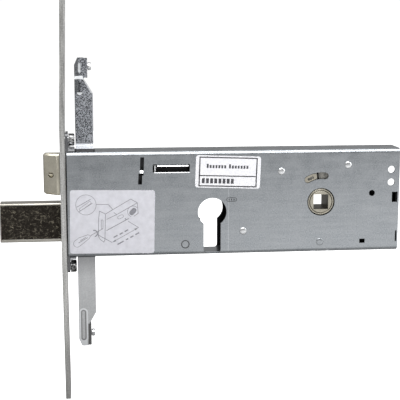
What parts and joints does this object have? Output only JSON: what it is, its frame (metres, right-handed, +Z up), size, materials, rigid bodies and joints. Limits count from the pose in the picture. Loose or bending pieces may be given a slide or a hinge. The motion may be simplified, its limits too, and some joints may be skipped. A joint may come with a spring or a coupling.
{
  "type": "mortise lock",
  "caption": "Mortise lock for a metal door: flat faceplate, long closed case with cylinder and spindle holes, latch, square deadbolt, and an arm up and down for locking rods.",
  "frame": {"origin": "the middle of the faceplate's front face, level with the middle of the case and half way through its thickness", "axes": "+X goes into the door along the case, away from both bolts; +Y goes across the door to the case's far side, so the labelled side is -Y; +Z is up, towards the latch and the upper arm"},
  "size_m": [0.241, 0.025, 0.238],
  "materials": {
    "zinc_plated_sheet": "satin zinc plate with fine grain",
    "brushed_faceplate_steel": "brushed along its length",
    "speckled_bolt_steel": "dark, mottled, with bright chamfers",
    "satin_nickel": "warm satin nickel",
    "bright_zinc_fastener": "bright zinc",
    "spring_steel": "drawn wire",
    "white_paper_label": "matt",
    "grey_film_label": "silk"
  },
  "bodies": {
    "case": {"faceplate": "brushed_faceplate_steel", "mounting_flange": "zinc_plated_sheet", "case_shell": "zinc_plated_sheet", "case_back_plate": "zinc_plated_sheet", "faceplate_screw_upper": "bright_zinc_fastener", "faceplate_screw_lower": "bright_zinc_fastener", "weld_nut_upper": "bright_zinc_fastener", "weld_nut_lower": "bright_zinc_fastener", "pillar_front_lower": "bright_zinc_fastener", "pillar_middle_lower": "bright_zinc_fastener", "pillar_middle_upper": "bright_zinc_fastener", "pillar_rear_upper": "bright_zinc_fastener", "pillar_rear_lower": "bright_zinc_fastener", "spring_post": "bright_zinc_fastener", "control_label": "white_paper_label", "instruction_label": "grey_film_label", "follower_spring": "spring_steel", "tumbler_spring": "spring_steel"},
    "latch": {"latch_bolt": "satin_nickel", "latch_pin": "bright_zinc_fastener", "draw_slide": "zinc_plated_sheet", "slide_rivet_lower": "bright_zinc_fastener", "slide_rivet_upper": "bright_zinc_fastener"},
    "follower": {"follower_hub": "satin_nickel"},
    "deadbolt": {"deadbolt": "speckled_bolt_steel", "bolt_carriage": "zinc_plated_sheet", "carriage_rivet_upper": "bright_zinc_fastener", "carriage_rivet_lower": "bright_zinc_fastener"},
    "upper_arm": {"upper_rod_arm": "zinc_plated_sheet", "upper_arm_pin": "bright_zinc_fastener", "upper_rod_screw": "bright_zinc_fastener"},
    "lower_arm": {"lower_rod_arm": "zinc_plated_sheet", "lower_arm_pin": "bright_zinc_fastener", "lower_rod_screw": "bright_zinc_fastener"},
    "tumbler": {"tumbler": "zinc_plated_sheet"}
  },
  "joints": [
    {"name": "deadbolt_throw", "type": "slide", "parent": "case", "child": "deadbolt", "axis": [1, 0, 0], "range_m": [0, 0.0358]},
    {"name": "upper_arm_slide", "type": "slide", "parent": "case", "child": "upper_arm", "axis": [0, 0, -1], "range_m": [0, 0.01]},
    {"name": "lower_arm_slide", "type": "slide", "parent": "case", "child": "lower_arm", "axis": [0, 0, 1], "range_m": [0, 0.01]},
    {"name": "follower_turn", "type": "hinge", "parent": "case", "child": "follower", "pos_m": [0.1564, 0, -0.0006], "axis": [0, 1, 0], "range_deg": [0, 23.2], "deforming": ["follower_spring"]},
    {"name": "latch_slide", "type": "slide", "parent": "case", "child": "latch", "axis": [1, 0, 0], "range_m": [0, 0.0092], "stiffness_N_per_m": 400, "springref_m": -0.01},
    {"name": "tumbler_lift", "type": "hinge", "parent": "case", "child": "tumbler", "pos_m": [0.1318, 0, 0.0184], "axis": [0, 1, 0], "range_deg": [0, 5], "stiffness_Nm_per_rad": 0.05, "springref_deg": -17.19, "deforming": ["tumbler_spring"]}
  ],
  "couplings": [
    {"joint": "upper_arm_slide", "follows": "deadbolt_throw", "ratio": 0.27933},
    {"joint": "lower_arm_slide", "follows": "deadbolt_throw", "ratio": 0.27933},
    {"joint": "follower_turn", "follows": "latch_slide", "rad_per_m": 44.013}
  ]
}
